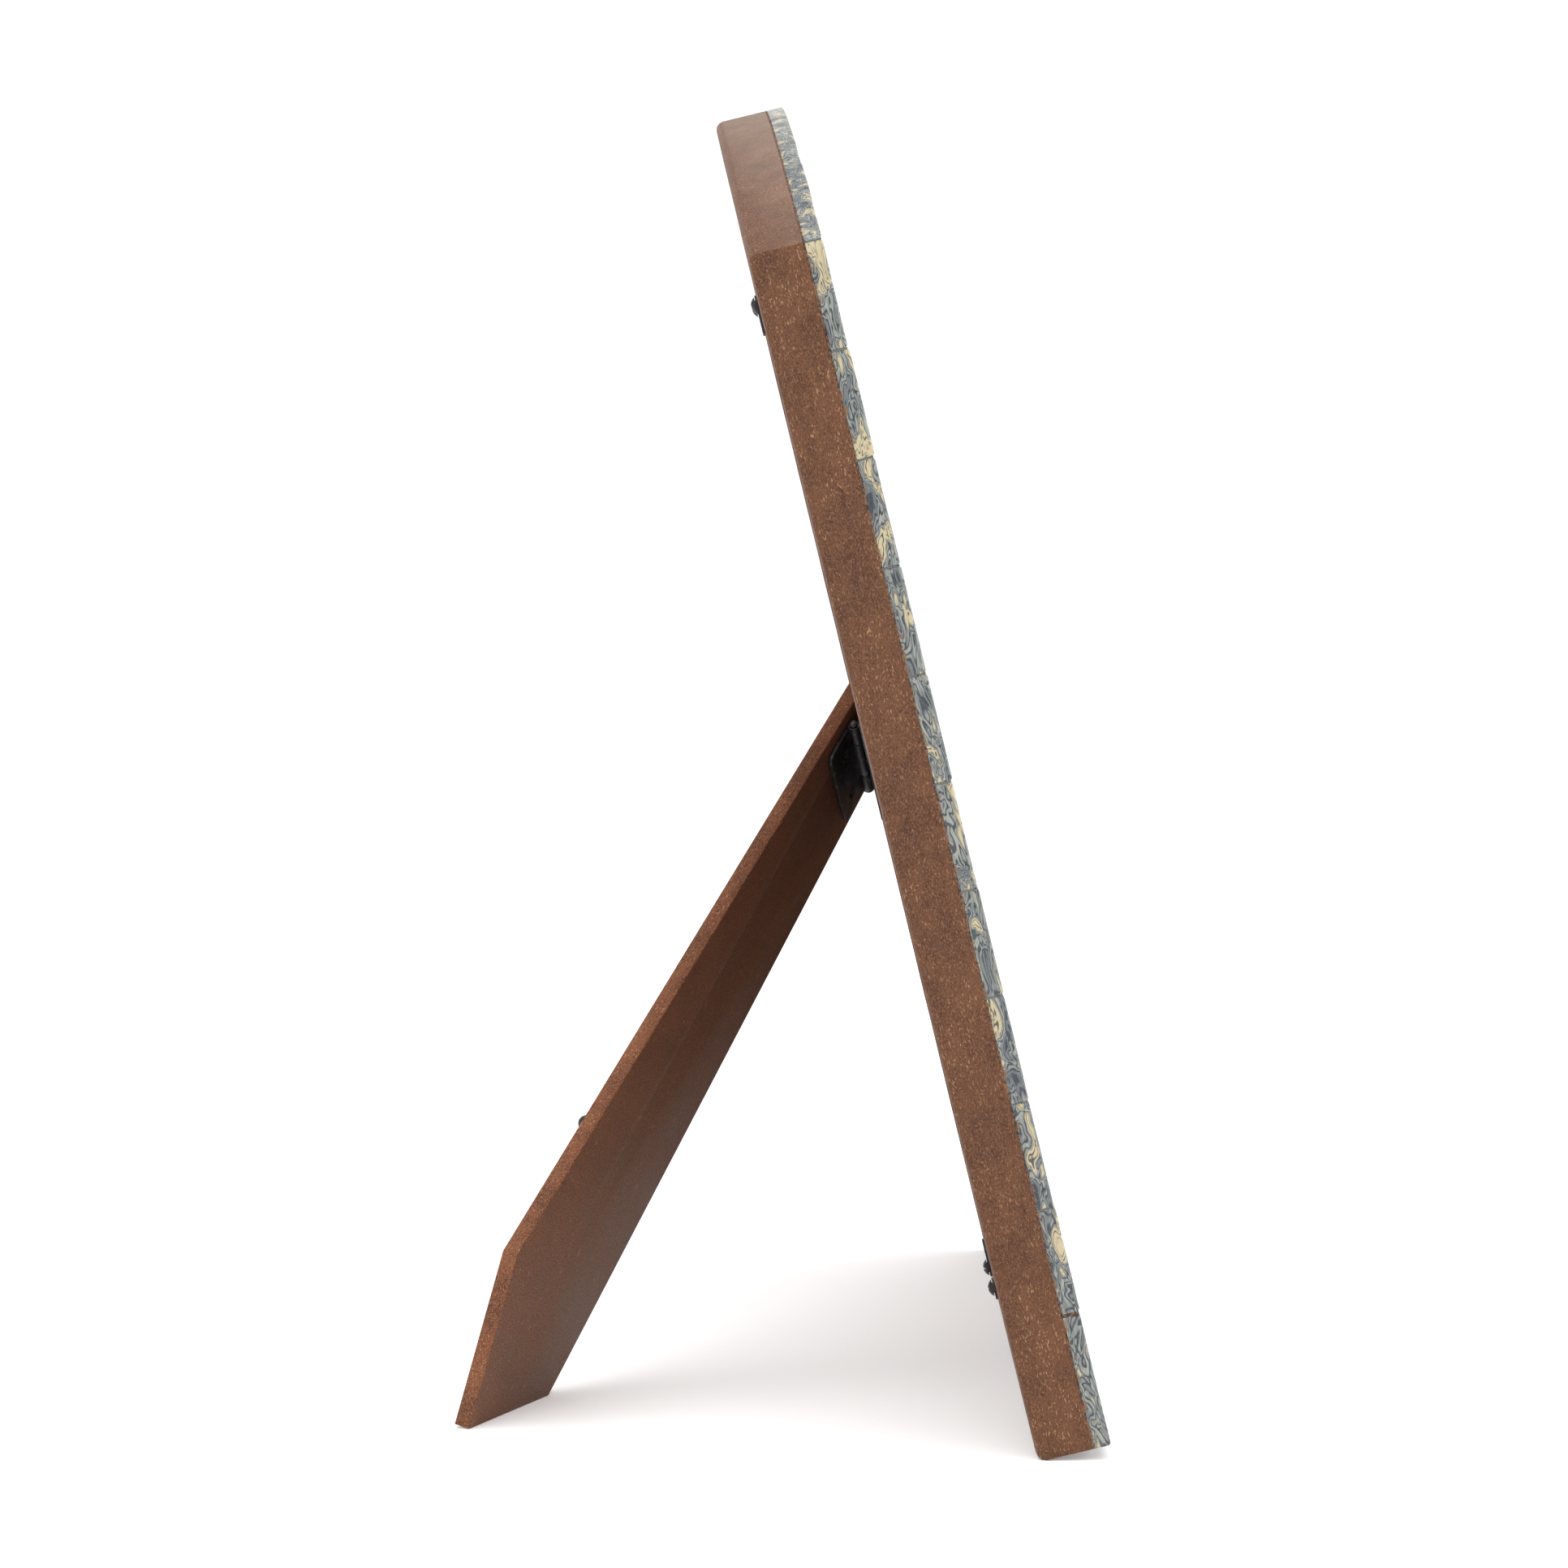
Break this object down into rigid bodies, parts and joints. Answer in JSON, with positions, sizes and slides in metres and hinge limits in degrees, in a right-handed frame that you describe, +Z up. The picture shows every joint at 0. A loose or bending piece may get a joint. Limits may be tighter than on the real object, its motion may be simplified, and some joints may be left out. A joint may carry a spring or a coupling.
{
  "type": "photo frame",
  "caption": "Arched easel-back picture frame faced with marbled resin tiles, glazed rebate, turn buttons and a folding pointed leg on a diagonal butt hinge.",
  "frame": {"origin": "centre of the bounding box at table height", "axes": "+Z up, front face towards -Y and leaning back towards +Y, +X to the right seen from the front"},
  "size_m": [0.203, 0.1192, 0.2448],
  "materials": {
    "stained_board": "brown-stained fibreboard, satin with fine pale fibres",
    "stained_leg": "brown-stained thin fibreboard, satin",
    "marbled_resin": "marbled cream, blue-grey and navy cast resin, soft gloss",
    "clear_glass": "clear sheet glass",
    "printed_paper": "satin photo paper with an abstract print",
    "black_hardware": "black finished steel, satin"
  },
  "bodies": {
    "frame": {"arch_tile_01": "marbled_resin", "arch_tile_02": "marbled_resin", "arch_tile_03": "marbled_resin", "arch_tile_04": "marbled_resin", "arch_tile_05": "marbled_resin", "arch_tile_06": "marbled_resin", "arch_tile_07": "marbled_resin", "arch_tile_08": "marbled_resin", "arch_tile_09": "marbled_resin", "arch_tile_10": "marbled_resin", "arch_tile_11": "marbled_resin", "back_panel": "stained_board", "button_screw_1": "black_hardware", "button_screw_2": "black_hardware", "button_screw_3": "black_hardware", "button_screw_4": "black_hardware", "frame_board": "stained_board", "glazing": "clear_glass", "hinge_leaf_panel": "black_hardware", "hinge_pin": "black_hardware", "panel_leaf_screw_1": "black_hardware", "panel_leaf_screw_2": "black_hardware", "photo_print": "printed_paper", "rail_tile_1": "marbled_resin", "rail_tile_2": "marbled_resin", "rail_tile_3": "marbled_resin", "side_tile_left_01": "marbled_resin", "side_tile_left_02": "marbled_resin", "side_tile_left_03": "marbled_resin", "side_tile_left_04": "marbled_resin", "side_tile_left_05": "marbled_resin", "side_tile_left_06": "marbled_resin", "side_tile_left_07": "marbled_resin", "side_tile_left_08": "marbled_resin", "side_tile_left_09": "marbled_resin", "side_tile_left_10": "marbled_resin", "side_tile_left_11": "marbled_resin", "side_tile_right_01": "marbled_resin", "side_tile_right_02": "marbled_resin", "side_tile_right_03": "marbled_resin", "side_tile_right_04": "marbled_resin", "side_tile_right_05": "marbled_resin", "side_tile_right_06": "marbled_resin", "side_tile_right_07": "marbled_resin", "side_tile_right_08": "marbled_resin", "side_tile_right_09": "marbled_resin", "side_tile_right_10": "marbled_resin", "side_tile_right_11": "marbled_resin"},
    "leg": {"easel_leg": "stained_leg", "hinge_leaf_leg": "black_hardware", "leg_leaf_screw_1": "black_hardware", "leg_leaf_screw_2": "black_hardware", "leg_stud": "black_hardware"},
    "turn_button_1": {"turn_button_1": "black_hardware"},
    "turn_button_2": {"turn_button_2": "black_hardware"},
    "turn_button_3": {"turn_button_3": "black_hardware"},
    "turn_button_4": {"turn_button_4": "black_hardware"}
  },
  "joints": [
    {"name": "leg_fold", "type": "hinge", "parent": "frame", "child": "leg", "pos_m": [0.0195, -0.0171, 0.11612], "axis": [-0.7071, 0.1663, 0.6873], "range_deg": [0, 35.8]},
    {"name": "button_1_turn", "type": "hinge", "parent": "frame", "child": "turn_button_1", "pos_m": [-0.0415, -0.04072, 0.02358], "axis": [0, 0.972, -0.2351], "continuous": true},
    {"name": "button_2_turn", "type": "hinge", "parent": "frame", "child": "turn_button_2", "pos_m": [-0.0415, 0.00348, 0.20631], "axis": [0, 0.972, -0.2351], "continuous": true},
    {"name": "button_3_turn", "type": "hinge", "parent": "frame", "child": "turn_button_3", "pos_m": [0.0415, 0.00348, 0.20631], "axis": [0, 0.972, -0.2351], "continuous": true},
    {"name": "button_4_turn", "type": "hinge", "parent": "frame", "child": "turn_button_4", "pos_m": [-0.0615, -0.04072, 0.02358], "axis": [0, 0.972, -0.2351], "continuous": true}
  ]
}
